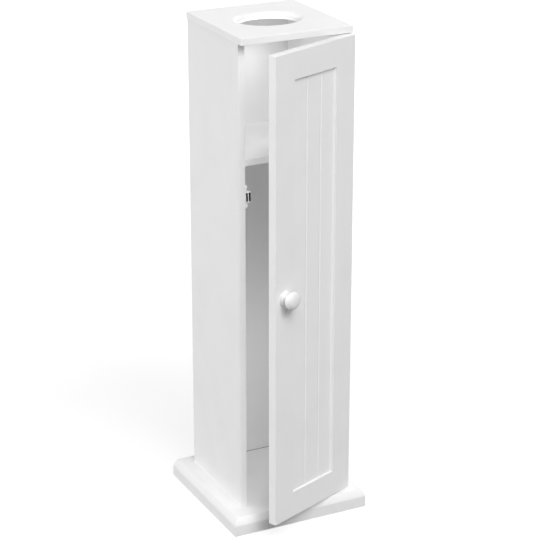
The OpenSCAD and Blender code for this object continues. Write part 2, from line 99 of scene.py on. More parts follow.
def makeCamera():
    c = camera
    back = directionAt(c["azimuth"], c["elevation"])
    right = (-back).cross(Vector((0, 0, 1))).normalized()
    up = right.cross(-back)
    roll = math.radians(c["roll"])
    rolledRight = right * math.cos(roll) + up * math.sin(roll)
    rolledUp = up * math.cos(roll) - right * math.sin(roll)
    data = bpy.data.cameras.new("camera")
    data.sensor_width = c["sensorWidth"]
    data.lens = c["sensorWidth"] * c["focalPixels"] / c["imagePixels"]
    data.clip_start, data.clip_end = c["nearest"], c["furthest"]
    data.dof.use_dof = False
    place = Vector((0, 0, c["height"])) + right * c["aside"] + back * c["distance"]
    turn = Matrix((rolledRight, rolledUp, back)).transposed().to_4x4()
    obj = addObject("camera", data)
    obj.matrix_world = Matrix.Translation(place) @ turn
    bpy.context.scene.camera = obj


makeCamera()
print("camera set")

studio = {
    "ambient": 0.0,  # world light on the object; the camera and the reflections see white
    "lamps": {  # degrees round the cabinet from its front, degrees up, diameter in metres, watts
        "highSoftbox": (-12, 50, 6.4, 630),
        "keySoftbox": (14, 39, 5.6, 364),
        "leftHigh": (-85, 35, 4.6, 71),
        "backLeftLow": (-112, 8, 4.6, 558),
        "backRight": (130, 10, 4.6, 585),
        "overhead": (0, 90, 5.0, 71),
    },
    "lampDistance": 10, "aim": (0, 0, 0.4),  # far off, so that the foot is lit as well as the top
    "insideLamps": {  # unseen themselves: place, the point faced, width and depth in metres, watts
        "throughOpening": ((0, -0.004, 0.781), (0, 0.012, 0.6), 0.095, 0.077, 0.0255),
        "lowerBay": ((-0.03, -0.055, 0.21), (0, 0.09, 0.16), 0.06, 0.2, 0.028),
    },
    "floorColour": "969696", "floorRadius": 8, "floorSides": 96,
    "floorGlow": 0.75,  # lifts the floor to white for the eye, and leaves it its shadow
    "glowGrowsFrom": 0.5, "floorWhiteFrom": 1.6,  # metres from the cabinet; then it is plain white
}


def seenDirectly(tree):
    # 1 for what the camera, a reflection or clear glass shows, 0 for light on its way
    path = addNode(tree, "ShaderNodeLightPath")
    seen = path.outputs["Is Camera Ray"]
    for other in ("Is Glossy Ray", "Is Transmission Ray"):
        seen = addNode(tree, "ShaderNodeMath", {"operation": "MAXIMUM"},
                       links={0: seen, 1: path.outputs[other]}).outputs[0]
    return seen


def makeWorld():
    world = bpy.data.worlds.new("paleRoom")
    bpy.context.scene.world = world
    world.use_nodes = True
    tree = world.node_tree
    tree.nodes.clear()
    seen = seenDirectly(tree)
    white = addNode(tree, "ShaderNodeBackground", values={"Color": (1, 1, 1, 1), "Strength": 1.0})
    light = addNode(tree, "ShaderNodeBackground",
                    values={"Color": (1, 1, 1, 1), "Strength": studio["ambient"]})
    mix = addNode(tree, "ShaderNodeMixShader",
                  links={0: seen, 1: light.outputs[0], 2: white.outputs[0]})
    addNode(tree, "ShaderNodeOutputWorld", links={"Surface": mix.outputs[0]})


def addLamp(name, shape, place, aim, wide, deep, watts):
    lamp = bpy.data.lights.new(name, "AREA")
    lamp.shape, lamp.size, lamp.size_y, lamp.energy = shape, wide, deep, watts
    obj = addObject(name, lamp)
    obj.location = place
    obj.rotation_euler = (Vector(aim) - Vector(place)).to_track_quat("-Z", "Y").to_euler()
    return obj


def makeLamps():
    for name, (azimuth, elevation, size, watts) in studio["lamps"].items():
        place = Vector(studio["aim"]) + directionAt(azimuth, elevation) * studio["lampDistance"]
        addLamp(name, "DISK", place, studio["aim"], size, size, watts)
    for name, settings in studio["insideLamps"].items():
        lamp = addLamp(name, "ELLIPSE", *settings)
        lamp.visible_camera = lamp.visible_glossy = False


def makeFloor():
    material, tree = newMaterial("matt white paper floor")
    seen = seenDirectly(tree)
    paper = addNode(tree, "ShaderNodeBsdfDiffuse",
                    values={"Color": hexToLinear(studio["floorColour"])})
    place = addNode(tree, "ShaderNodeTexCoord").outputs["Object"]
    away = addNode(tree, "ShaderNodeVectorMath", {"operation": "LENGTH"}, links={0: place})
    lift = addNode(tree, "ShaderNodeMapRange",
                   values={"From Min": studio["glowGrowsFrom"],
                           "From Max": studio["floorWhiteFrom"],
                           "To Min": studio["floorGlow"], "To Max": 1.0},
                   links={"Value": away.outputs["Value"]})
    strength = addNode(tree, "ShaderNodeMath", {"operation": "MULTIPLY"},
                       links={0: seen, 1: lift.outputs["Result"]})
    glow = addNode(tree, "ShaderNodeEmission", links={"Strength": strength.outputs[0]})
    both = addNode(tree, "ShaderNodeAddShader", links={0: paper.outputs[0], 1: glow.outputs[0]})
    addNode(tree, "ShaderNodeOutputMaterial", links={"Surface": both.outputs[0]})
    mesh = bpy.data.meshes.new("floor")
    shape = bmesh.new()
    bmesh.ops.create_circle(shape, cap_ends=True, segments=studio["floorSides"],
                            radius=studio["floorRadius"])
    shape.to_mesh(mesh)
    shape.free()
    mesh.materials.append(material)
    addObject("floor", mesh)


makeWorld()
makeLamps()
makeFloor()
print("studio built")

meshing = {"weldWithin": 0.0005, "creaseFrom": 0.5, "easeSteps": 3}  # millimetres, radians, faces


def ovalPoints(halfX, halfY, middle, steps):
    return [(middle[0] + halfX * math.cos(2 * math.pi * k / steps),
             middle[1] + halfY * math.sin(2 * math.pi * k / steps)) for k in range(steps)]


def ovalRing(halfX, halfY, z, middle=(0, 0), steps=128):
    return [(x, y, z) for x, y in ovalPoints(halfX, halfY, middle, steps)]


def boardRing(halfX, halfY, radius, z, middle=(0, 0), steps=4):
    # the outline of a board at one height, seen in plan
    points = []
    for signX, signY, start in ((1, 1, 0), (-1, 1, 90), (-1, -1, 180), (1, -1, 270)):
        for k in range(steps + 1):
            angle = math.radians(start + 90 * k / steps)
            points.append((middle[0] + signX * (halfX - radius) + radius * math.cos(angle),
                           middle[1] + signY * (halfY - radius) + radius * math.sin(angle), z))
    return points


def quarterTurn(steps):
    # sine and cosine from 0 to 90 degrees
    angles = [math.pi / 2 * k / steps for k in range(steps + 1)]
    return [(math.sin(angle), math.cos(angle)) for angle in angles]


def cornerArc(x, z, radius, start, steps=4):
    angles = [start + math.pi / 2 * k / steps for k in range(steps + 1)]
    return [(x + radius * math.cos(angle), z + radius * math.sin(angle)) for angle in angles]


def skinRings(shape, rings):
    # quads between each ring and the next; gives back the vertices of every ring
    rows = [[shape.verts.new(p) for p in ring] for ring in rings]
    for low, high in zip(rows, rows[1:]):
        for k in range(len(low)):
            j = (k + 1) % len(low)
            shape.faces.new((low[k], low[j], high[j], high[k]))
    return rows


def fillFlat(shape, loops):
    # a flat face inside the first loop, with the other loops left open in it
    edges = []
    for loop in loops:
        for k, vert in enumerate(loop):
            edge = shape.edges.get((vert, loop[(k + 1) % len(loop)]))
            edges.append(edge or shape.edges.new((vert, loop[(k + 1) % len(loop)])))
    bmesh.ops.triangle_fill(shape, use_beauty=True, edges=edges)


def easeLoop(shape, weight, loop, share=1):
    # every edge round a loop gets this share of the piece's rounding
    for k, vert in enumerate(loop):
        shape.edges.get((vert, loop[(k + 1) % len(loop)]))[weight] = share


def makePiece(name, shape, body, slotName, replaced, place=None, bevel=None, finish=None):
    # from millimetres to metres, onto its body, in place of its CAD node
    bmesh.ops.remove_doubles(shape, verts=shape.verts, dist=meshing["weldWithin"])
    bmesh.ops.recalc_face_normals(shape, faces=shape.faces)
    for face in shape.faces:
        face.smooth = True
    weight = shape.edges.layers.float.get("bevel_weight_edge")
    for edge in shape.edges:
        eased = bool(weight and edge[weight] > 0)
        edge.smooth = eased or edge.calc_face_angle(0) < meshing["creaseFrom"]
    mesh = bpy.data.meshes.new(name)
    shape.to_mesh(mesh)
    shape.free()
    mesh.transform((place or Matrix.Identity(4)) @ Matrix.Scale(mm, 4))
    mesh.materials.append(finish or finishOf[slotName])
    piece = addObject(name, mesh)
    if bevel:
        ease = piece.modifiers.new("easedEdges", "BEVEL")
        ease.limit_method, ease.width, ease.segments = "WEIGHT", bevel * mm, meshing["easeSteps"]
    shading = piece.modifiers.new("flatFacesStayFlat", "WEIGHTED_NORMAL")
    shading.keep_sharp = True
    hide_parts(*replaced)
    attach(piece, body)


def repeatsPerMetre(millimetres):
    return 1000 / millimetres


# each pattern is fixed to its piece, and its sizes below are real millimetres
boardLacquer = {
    "colour": "F4F4F4", "thinner": "F1F1F1", "colourNoise": (0.3, 0.55),  # by the coats' thickness
    "smooth": 0.39, "dull": 0.45, "shineNoise": (0.3, 0.7),  # roughness, by the same
    "drift": 70, "driftDetail": 3.0, "ior": 1.5,
    "peel": 1.6, "peelDetail": 2.0, "peelHeight": 0.03, "peelStrength": 0.5,
}
# the plinth's lacquer carries a painted shade: a near-black strip where the back board stands on it
plinthLacquer = {**boardLacquer, "joint": "1C1A18"}
knobLacquer = {**boardLacquer, "colour": "F0F0F0", "thinner": "EDEDED", "peel": 1.1,
               "smooth": 0.6, "dull": 0.66}


def sprayedLacquer(name, d):
    # satin lacquer from a spray gun: an even white with faint orange peel, and a shine that is
    # broad and soft and drifts a little where the coats lie thicker
    material, tree = newMaterial(name)
    place = addNode(tree, "ShaderNodeTexCoord").outputs["Object"]
    bumps = addNode(tree, "ShaderNodeTexNoise",
                    values={"Scale": repeatsPerMetre(d["peel"]), "Detail": d["peelDetail"]},
                    links={"Vector": place})
    coats = addNode(tree, "ShaderNodeTexNoise",
                    values={"Scale": repeatsPerMetre(d["drift"]), "Detail": d["driftDetail"]},
                    links={"Vector": place})
    thick = addNode(tree, "ShaderNodeMapRange",
                    values={"From Min": d["colourNoise"][0], "From Max": d["colourNoise"][1]},
                    links={"Value": coats.outputs[0]})
    colour = addNode(tree, "ShaderNodeMix", {"data_type": "RGBA"},
                     values={6: hexToLinear(d["thinner"]), 7: hexToLinear(d["colour"])},
                     links={0: thick.outputs[0]})
    if "joint" in d:  # painted shade: the plinth's top under the back board is coloured a near-black strip, standing in for the shadow in the gap there
        axes = addNode(tree, "ShaderNodeSeparateXYZ", links={0: place})
        low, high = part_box("back_panel")
        within = [addNode(tree, "ShaderNodeMath", {"operation": "COMPARE"},
                          values={1: (low[k] + high[k]) / 2, 2: (high[k] - low[k]) / 2},
                          links={0: axes.outputs[axis]}) for k, axis in enumerate("XY")]
        joint = addNode(tree, "ShaderNodeMath", {"operation": "MULTIPLY"},
                        links={0: within[0].outputs[0], 1: within[1].outputs[0]})
        colour = addNode(tree, "ShaderNodeMix", {"data_type": "RGBA"},
                         values={7: hexToLinear(d["joint"])},
                         links={0: joint.outputs[0], 6: colour.outputs[2]})
    shine = addNode(tree, "ShaderNodeMapRange",
                    values={"From Min": d["shineNoise"][0], "From Max": d["shineNoise"][1],
                            "To Min": d["smooth"], "To Max": d["dull"]},
                    links={"Value": coats.outputs[0]})
    relief = addNode(tree, "ShaderNodeBump",
                     values={"Strength": d["peelStrength"], "Distance": d["peelHeight"] * mm},
                     links={"Height": bumps.outputs[0]})
    shader = addNode(tree, "ShaderNodeBsdfPrincipled", values={"IOR": d["ior"]},
                     links={"Base Color": colour.outputs[2], "Roughness": shine.outputs[0],
                            "Normal": relief.outputs[0]})
    addNode(tree, "ShaderNodeOutputMaterial", links={"Surface": shader.outputs[0]})
    return material


hardboard = {
    "face": "F3F3F3", "smooth": 0.46, "dull": 0.58, "ior": 1.5,
    "screenPitch": 1.9, "screenDepth": 0.25, "screenStrength": 0.6,
    "fibre": 2.5, "fibreDetail": 4.0, "fibreShare": 0.12,
    "rearFace": 91.2,  # only beyond this plane is the screen's mesh pressed into it
}


def paintedHardboard():
    # thin hardboard under one coat of white: smooth and a little matt inside, and at the back the
    # pressed mesh of the screen it was made on
    d = hardboard
    material, tree = newMaterial("white paint on hardboard")
    place = addNode(tree, "ShaderNodeTexCoord").outputs["Object"]
    axes = addNode(tree, "ShaderNodeSeparateXYZ", links={0: place})
    mesh = addNode(tree, "ShaderNodeMath", {"operation": "GREATER_THAN"},
                   values={1: d["rearFace"] * mm}, links={0: axes.outputs["Y"]})
    for axis in ("X", "Z"):
        turns = addNode(tree, "ShaderNodeMath", {"operation": "MULTIPLY"},
                        values={1: 2 * math.pi * repeatsPerMetre(d["screenPitch"])},
                        links={0: axes.outputs[axis]})
        wave = addNode(tree, "ShaderNodeMath", {"operation": "SINE"}, links={0: turns.outputs[0]})
        mesh = addNode(tree, "ShaderNodeMath", {"operation": "MULTIPLY"},
                       links={0: mesh.outputs[0], 1: wave.outputs[0]})
    fibres = addNode(tree, "ShaderNodeTexNoise",
                     values={"Scale": repeatsPerMetre(d["fibre"]), "Detail": d["fibreDetail"]},
                     links={"Vector": place})
    both = addNode(tree, "ShaderNodeMath", {"operation": "MULTIPLY_ADD"},
                   values={1: d["fibreShare"]}, links={0: fibres.outputs[0], 2: mesh.outputs[0]})
    relief = addNode(tree, "ShaderNodeBump",
                     values={"Strength": d["screenStrength"], "Distance": d["screenDepth"] * mm},
                     links={"Height": both.outputs[0]})
    shine = addNode(tree, "ShaderNodeMapRange", values={"To Min": d["smooth"], "To Max": d["dull"]},
                    links={"Value": fibres.outputs[0]})
    shader = addNode(tree, "ShaderNodeBsdfPrincipled",
                     values={"Base Color": hexToLinear(d["face"]), "IOR": d["ior"]},
                     links={"Roughness": shine.outputs[0], "Normal": relief.outputs[0]})
    addNode(tree, "ShaderNodeOutputMaterial", links={"Surface": shader.outputs[0]})
    return material


beech = {"dark": "B48A5E", "pale": "DDBE93", "roughness": 0.62, "ior": 1.5,
         "fleck": 1.5, "fleckDetail": 5.0, "alongGrain": 0.15}


def bareBeech():
    # turned beech, unpainted: pale warm wood with short darker flecks along the grain
    d = beech
    material, tree = newMaterial("turned beech")
    place = addNode(tree, "ShaderNodeTexCoord").outputs["Object"]
    stretched = addNode(tree, "ShaderNodeMapping", values={"Scale": (1, 1, d["alongGrain"])},
                        links={"Vector": place})
    flecks = addNode(tree, "ShaderNodeTexNoise",
                     values={"Scale": repeatsPerMetre(d["fleck"]), "Detail": d["fleckDetail"]},
                     links={"Vector": stretched.outputs[0]})
    colour = addNode(tree, "ShaderNodeMix", {"data_type": "RGBA"},
                     values={6: hexToLinear(d["dark"]), 7: hexToLinear(d["pale"])},
                     links={0: flecks.outputs[0]})
    shader = addNode(tree, "ShaderNodeBsdfPrincipled",
                     values={"Roughness": d["roughness"], "IOR": d["ior"]},
                     links={"Base Color": colour.outputs[2]})
    addNode(tree, "ShaderNodeOutputMaterial", links={"Surface": shader.outputs[0]})
    return material


plastic = {"colour": "F1F1EE", "smooth": 0.3, "dull": 0.42, "ior": 1.53,
           "sparkle": 0.35, "sparkleDetail": 1.0, "sparkleDepth": 0.02, "sparkleStrength": 0.4}


def mouldedAbs():
    # injection-moulded ABS: a clean white, a hair warmer than the lacquer, with the fine sparkle
    # of a spark-eroded mould
    d = plastic
    material, tree = newMaterial("injection moulded ABS")
    place = addNode(tree, "ShaderNodeTexCoord").outputs["Object"]
    sparkle = addNode(tree, "ShaderNodeTexNoise",
                      values={"Scale": repeatsPerMetre(d["sparkle"]),
                              "Detail": d["sparkleDetail"]},
                      links={"Vector": place})
    relief = addNode(tree, "ShaderNodeBump",
                     values={"Strength": d["sparkleStrength"], "Distance": d["sparkleDepth"] * mm},
                     links={"Height": sparkle.outputs[0]})
    shine = addNode(tree, "ShaderNodeMapRange", values={"To Min": d["smooth"], "To Max": d["dull"]},
                    links={"Value": sparkle.outputs[0]})
    shader = addNode(tree, "ShaderNodeBsdfPrincipled",
                     values={"Base Color": hexToLinear(d["colour"]), "IOR": d["ior"]},
                     links={"Roughness": shine.outputs[0], "Normal": relief.outputs[0]})
    addNode(tree, "ShaderNodeOutputMaterial", links={"Surface": shader.outputs[0]})
    return material


metalGrain = {"detail": 3.0, "strength": 0.5}
metals = {  # darker and lighter tone, metallic, roughness from and to, the grain's size, its scale
    # along the brushing, and its depth
    "nickel plated pressed steel": ("B9B4AB", "D3CFC7", 1.0, 0.24, 0.36, 0.5, 0.04, 0.01),
    "zinc plated steel": ("A7ADB3", "CDD1D4", 1.0, 0.3, 0.5, 1.8, 1.0, 0.01),
    "blackened steel": ("18181A", "2A2A2D", 0.85, 0.34, 0.5, 1.2, 1.0, 0.01),
    "sintered ferrite": ("1F1F21", "39393B", 0.0, 0.6, 0.85, 0.5, 1.0, 0.05),
}


def metalFinish(name):
    # nickel: pale and warm, brushed along the leaf; zinc: bluish, with a soft spangle; blackened
    # steel: dark with a dull sheen; ferrite: charcoal grey and grainy, like a fired brick
    dark, light, metallic, smooth, dull, grain, stretch, depth = metals[name]
    material, tree = newMaterial(name)
    place = addNode(tree, "ShaderNodeTexCoord").outputs["Object"]
    stretched = addNode(tree, "ShaderNodeMapping", values={"Scale": (1, 1, stretch)},
                        links={"Vector": place})
    grains = addNode(tree, "ShaderNodeTexNoise",
                     values={"Scale": repeatsPerMetre(grain), "Detail": metalGrain["detail"]},
                     links={"Vector": stretched.outputs[0]})
    colour = addNode(tree, "ShaderNodeMix", {"data_type": "RGBA"},
                     values={6: hexToLinear(dark), 7: hexToLinear(light)},
                     links={0: grains.outputs[0]})
    shine = addNode(tree, "ShaderNodeMapRange", values={"To Min": smooth, "To Max": dull},
                    links={"Value": grains.outputs[0]})
    relief = addNode(tree, "ShaderNodeBump",
                     values={"Strength": metalGrain["strength"], "Distance": depth * mm},
                     links={"Height": grains.outputs[0]})
    shader = addNode(tree, "ShaderNodeBsdfPrincipled", values={"Metallic": metallic},
                     links={"Base Color": colour.outputs[2], "Roughness": shine.outputs[0],
                            "Normal": relief.outputs[0]})
    addNode(tree, "ShaderNodeOutputMaterial", links={"Surface": shader.outputs[0]})
    return material


# the plinth's finish, with the painted shade under the back board
plinthPaint = sprayedLacquer("satin lacquer sprayed on MDF, dusty in the joint", plinthLacquer)
finishOf = {  # the record's material slot: the finish
    "painted_board": sprayedLacquer("satin lacquer sprayed on MDF", boardLacquer),
    "painted_knob": sprayedLacquer("satin lacquer on turned beech", knobLacquer),
    "painted_hardboard": paintedHardboard(),
    "beech": bareBeech(),
    "white_plastic": mouldedAbs(),
    "hinge_steel": metalFinish("nickel plated pressed steel"),
    "zinc_steel": metalFinish("zinc plated steel"),
    "black_steel": metalFinish("blackened steel"),
    "ferrite": metalFinish("sintered ferrite"),
}
for node in frame["nodes"].values():  # a node comes in with its slot's name on its material
    slotName = node.data.materials[0].name.split(".")[0]
    node.data.materials[0] = finishOf[slotName]
print("finishes made")

doorBoard = {  # millimetres, on the shut door
    "width": 178, "thickness": 14, "back": -87.7, "bottom": 32, "top": 777,
    "border": 42, "fieldDepth": 4, "planks": 3, "grooveWidth": 4, "grooveDepth": 0.8,
    "coveSteps": 8, "edgeRadius": 1.0, "fieldArris": 0.8, "grooveArris": 0.25,
}
hinge = frame["joints"][0]
hingeAxis = Vector((hinge["pos_m"][0], hinge["pos_m"][1], 0))
standsOpen = -math.radians(hinge["range_deg"][0])  # the door's lower limit is where it is shut
swung = (Matrix.Translation(hingeAxis) @ Matrix.Rotation(standsOpen, 4, "Z")
         @ Matrix.Translation(-hingeAxis))


def makeDoorBoard():
    d = doorBoard
    half, inner = d["width"] / 2, d["width"] / 2 - d["border"]
    flat = inner - d["fieldDepth"]
    low, high = d["bottom"] + d["border"], d["top"] - d["border"]
    back, front = d["back"], d["back"] - d["thickness"]
    field, valley = front + d["fieldDepth"], front + d["fieldDepth"] + d["grooveDepth"]
    shape = bmesh.new()
    weight = shape.edges.layers.float.new("bevel_weight_edge")

    def corners(x, y, z0, z1):
        return [shape.verts.new(p) for p in ((-x, y, z0), (x, y, z0), (x, y, z1), (-x, y, z1))]

    backCorners = corners(half, back, d["bottom"], d["top"])
    frontCorners = corners(half, front, d["bottom"], d["top"])
    rings = []  # down the cove from the front face to the field
    for sine, cosine in quarterTurn(d["coveSteps"])[:-1]:
        inset, depth = d["fieldDepth"] * (1 - cosine), d["fieldDepth"] * sine
        rings.append(corners(inner - inset, front + depth, low + inset, high - inset))
    rim, lowest = rings[0], rings[-1]
    section = [(-flat, field)]  # across the field, with its V grooves
    for i in range(1, d["planks"]):
        x, wide = -inner + 2 * inner * i / d["planks"], d["grooveWidth"] / 2
        section += [(x - wide, field), (x, valley), (x + wide, field)]
    section.append((flat, field))
    foot = [shape.verts.new((x, y, low + d["fieldDepth"])) for x, y in section]
    head = [shape.verts.new((x, y, high - d["fieldDepth"])) for x, y in section]

    shape.faces.new(backCorners)
    for k in range(4):
        j = (k + 1) % 4
        shape.faces.new((frontCorners[k], frontCorners[j], backCorners[j], backCorners[k]))
        shape.faces.new((frontCorners[k], frontCorners[j], rim[j], rim[k]))
        for outer, within in zip(rings, rings[1:]):
            shape.faces.new((outer[k], outer[j], within[j], within[k]))
    for k in range(len(section) - 1):
        shape.faces.new((foot[k], foot[k + 1], head[k + 1], head[k]))
    for end, (left, right) in ((foot, (0, 1)), (head, (3, 2))):
        level = [vert for vert, (x, y) in zip(end, section) if y == field]
        shape.faces.new([lowest[left], lowest[right]] + level[::-1])
        for k, (x, y) in enumerate(section):
            if y == valley:
                shape.faces.new((end[k - 1], end[k], end[k + 1]))
    shape.faces.new((lowest[0], foot[0], head[0], lowest[3]))
    shape.faces.new((lowest[1], foot[-1], head[-1], lowest[2]))

    easeLoop(shape, weight, backCorners)
    easeLoop(shape, weight, frontCorners)
    easeLoop(shape, weight, rim, d["fieldArris"] / d["edgeRadius"])
    for a, b in zip(backCorners, frontCorners):
        shape.edges.get((a, b))[weight] = 1
    for a, b, (x, y) in zip(foot, head, section):
        if abs(x) < flat:
            shape.edges.get((a, b))[weight] = d["grooveArris"] / d["edgeRadius"]
    makePiece("door_board", shape, "door", "painted_board", ["door_panel"],
              place=swung, bevel=d["edgeRadius"])


makeDoorBoard()
print("door board made")

topBoard = {  # millimetres
    "width": 183, "depth": 193, "middle": -4.0, "bottom": 779, "top": 790,
    "edgeRadius": 1.0, "lowerEase": 0.5, "easeSteps": 4,
    "openingWidth": 99, "openingDepth": 81, "rimRadius": 7, "rimSteps": 12,
}


def makeTopBoard():
    d = topBoard
    middle, bottom, top = (0, d["middle"]), d["bottom"], d["top"]
    edge, ease, rim = d["edgeRadius"], d["lowerEase"], d["rimRadius"]
    # how far in, and how high: up the outer edge, then up through the opening
    outer = [(edge * (1 - sine), bottom + edge * (1 - cosine))
             for sine, cosine in quarterTurn(d["easeSteps"])]
    outer += [(edge * (1 - cosine), top - edge * (1 - sine))
              for sine, cosine in quarterTurn(d["easeSteps"])]
    inner = [(ease * (1 - sine), bottom + ease * (1 - cosine))
             for sine, cosine in quarterTurn(d["easeSteps"])]
    inner += [(rim * (1 - cosine), top - rim * (1 - sine))
              for sine, cosine in quarterTurn(d["rimSteps"])]
    shape = bmesh.new()
    outside = skinRings(shape, [
        boardRing(d["width"] / 2 - inset, d["depth"] / 2 - inset, edge - inset, z, middle)
        for inset, z in outer])
    opening = skinRings(shape, [
        ovalRing(d["openingWidth"] / 2 + out, d["openingDepth"] / 2 + out, z, middle)
        for out, z in inner])
    # the corners run to a point where the edge's rounding ends
    bmesh.ops.remove_doubles(shape, verts=outside[0] + outside[-1], dist=meshing["weldWithin"])
    for k in (0, -1):
        fillFlat(shape, [[v for v in outside[k] if v.is_valid], opening[k]])
    makePiece("top_board", shape, "carcass", "painted_board", ["top_panel"])


makeTopBoard()
print("top board made")

plinthBoard = {  # millimetres
    "width": 232, "depth": 241, "height": 30, "cornerRadius": 1.0,
    "footEase": 0.6, "footRound": 0.3,  # the second is a share of the first
    "face": 18, "leansIn": 6, "curve": 55, "curveSteps": 8,  # an upright face, then the moulding
    "wearBelow": 0.35, "wearAbove": 0.05, "wearIn": 0.06,  # of the arris between the two
    "arris": 0.8,  # of the moulding's top; three points round it, inwards and down, in its shares
    "arrisPoints": ((-0.45, 0.62), (0.18, 0.16), (1, 0)),
    "screwHoles": [(x, y) for x in (-84.5, 84.5) for y in (-51, 57)],
    "holeRadius": 4.1, "holeDepth": 3.4, "holeSides": 32,
}


def makePlinthBoard():
    d = plinthBoard
    face, foot, arris = d["face"], d["footEase"], d["arris"]
    rise, corner = d["height"] - face, foot * d["footRound"]
    chord = math.hypot(d["leansIn"], rise)
    sink = math.sqrt(d["curve"] ** 2 - chord ** 2 / 4)
    centreOut = -d["leansIn"] / 2 - sink * rise / chord  # from the plinth's outermost face
    centreZ = face + rise / 2 - sink * d["leansIn"] / chord
    start = math.atan2(face - centreZ, -centreOut)
    end = math.atan2(d["height"] - centreZ, -d["leansIn"] - centreOut)
    curve = []
    for k in range(1, d["curveSteps"] + 1):
        angle = start + (end - start) * k / d["curveSteps"]
        curve.append((-centreOut - d["curve"] * math.cos(angle),
                      centreZ + d["curve"] * math.sin(angle)))
    inset, top = curve.pop()
    outline = [(foot, 0.0), (corner, corner), (0.0, foot), (0.0, face - d["wearBelow"]),
               (d["wearIn"], face + d["wearAbove"])] + curve
    outline += [(inset + arris * along, top - arris * down) for along, down in d["arrisPoints"]]
    shape = bmesh.new()
    rows = skinRings(shape, [boardRing(d["width"] / 2 - inset, d["depth"] / 2 - inset,
                                       d["cornerRadius"], z) for inset, z in outline])
    shape.faces.new(rows[-1])
    holes = []
    for place in d["screwHoles"]:
        cup = skinRings(shape, [ovalRing(d["holeRadius"], d["holeRadius"], z, place, d["holeSides"])
                                for z in (0, d["holeDepth"])])
        shape.faces.new(cup[1])
        holes.append(cup[0])
    fillFlat(shape, [rows[0]] + holes)
    makePiece("plinth_board", shape, "carcass", "painted_board", ["base_plinth"],
              finish=plinthPaint)


makePlinthBoard()
print("plinth board made")

turnedKnob = {  # millimetres; x and z are its place on the shut door
    "x": -68, "z": 404.5, "reach": 23.15, "sides": 96,
    "width": 28, "headThickness": 16.5, "squareness": 0.9, "headSteps": 44,
    "neckWidth": 14, "neckCove": 0.7, "coveCorner": 0.2,
    "footWidth": 24.5, "footEase": 0.2, "rim": 0.8, "bead": 3.9, "beadSteps": 12,
}


def makeKnob():
    d = turnedKnob
    head = d["reach"] - d["headThickness"] / 2
    neck, foot, cove = d["neckWidth"] / 2, d["footWidth"] / 2, d["neckCove"]
    beadTop = d["rim"] + d["bead"]
    profile = [(foot - d["footEase"], 0.0), (foot, d["footEase"]), (foot, d["rim"])]
    for sine, cosine in quarterTurn(d["beadSteps"])[1:]:  # the foot is a low rounded bead
        profile.append((neck + cove + (foot - neck - cove) * cosine, d["rim"] + d["bead"] * sine))
    profile += [(neck + d["coveCorner"], beadTop + d["coveCorner"]), (neck, beadTop + cove)]
    meet = math.pi - math.asin((2 * neck / d["width"]) ** (1 / d["squareness"]))
    for k in range(d["headSteps"]):  # the head is a bun, a little fuller than an ellipse
        angle = meet - meet * k / d["headSteps"]
        out, along = math.sin(angle) ** d["squareness"], abs(math.cos(angle)) ** d["squareness"]
        profile.append((d["width"] / 2 * out,
                        head + math.copysign(d["headThickness"] / 2 * along, math.cos(angle))))
    shape = bmesh.new()
    rows = skinRings(shape, [ovalRing(r, r, z, steps=d["sides"]) for r, z in profile])
    shape.faces.new(rows[0])
    crown = shape.verts.new((0, 0, head + d["headThickness"] / 2))
    for k, vert in enumerate(rows[-1]):
        shape.faces.new((vert, rows[-1][(k + 1) % d["sides"]], crown))
    front = doorBoard["back"] - doorBoard["thickness"]
    place = (swung @ Matrix.Translation(Vector((d["x"], front, d["z"])) * mm)
             @ Matrix.Rotation(math.pi / 2, 4, "X"))
    makePiece("turned_knob", shape, "door", "painted_knob", ["door_knob"], place=place)


makeKnob()
print("knob made")

hingeLeaf = {  # millimetres, drawn shut: the pin upright at the origin, the plates towards -X
    "low": -0.65, "high": 0.85,  # faces of the frame leaf's plate; the door leaf's are mirrored
    "knuckle": 2.5, "bore": 1.35, "seam": 0.22, "knuckleSteps": 40,
    "curlRoot": 0.96, "plateRoot": 0.86,  # where curl and plate end, in shares of the knuckle
    "cornerRadius": 2, "ease": 0.18,
    "screwHead": 2.5, "screwBore": 1.38, "headDepth": 1.15, "holeSides": 32,
    "frame": {"body": "carcass", "reach": 12.8, "height": 22, "screws": (-7.8, 5.5)},
    "door": {"body": "door", "reach": 22.8, "height": 40, "screws": (-18.0, 40 / 3),
             "window": (13.2, 22.8)},
    "heights": {"lower": 127, "upper": 682},
}


def rolledKnuckle(shape, bottom, top):
    # the end of the plate curled round the pin, with the open seam where it comes back
    d = hingeLeaf
    outer, inner, low, high = d["knuckle"], d["bore"], d["low"], d["high"]
    tip = low - d["seam"]

    def arc(radius, start, end):
        steps = d["knuckleSteps"]
        angles = [start + (end - start) * k / steps for k in range(steps + 1)]
        return [(radius * math.cos(angle), radius * math.sin(angle)) for angle in angles]

    outline = [(-outer * d["curlRoot"], high)]
    outline += arc(outer, math.pi - math.asin(high / outer), math.asin(tip / outer) - math.pi)
    outline += arc(inner, math.asin(tip / inner) - math.pi, math.pi - math.asin(low / inner))
    outline.append((-outer * d["curlRoot"], low))
    rows = skinRings(shape, [[(x, y, z) for x, y in outline] for z in (bottom, top)])
    shape.faces.new(rows[0])
    shape.faces.new(rows[1])


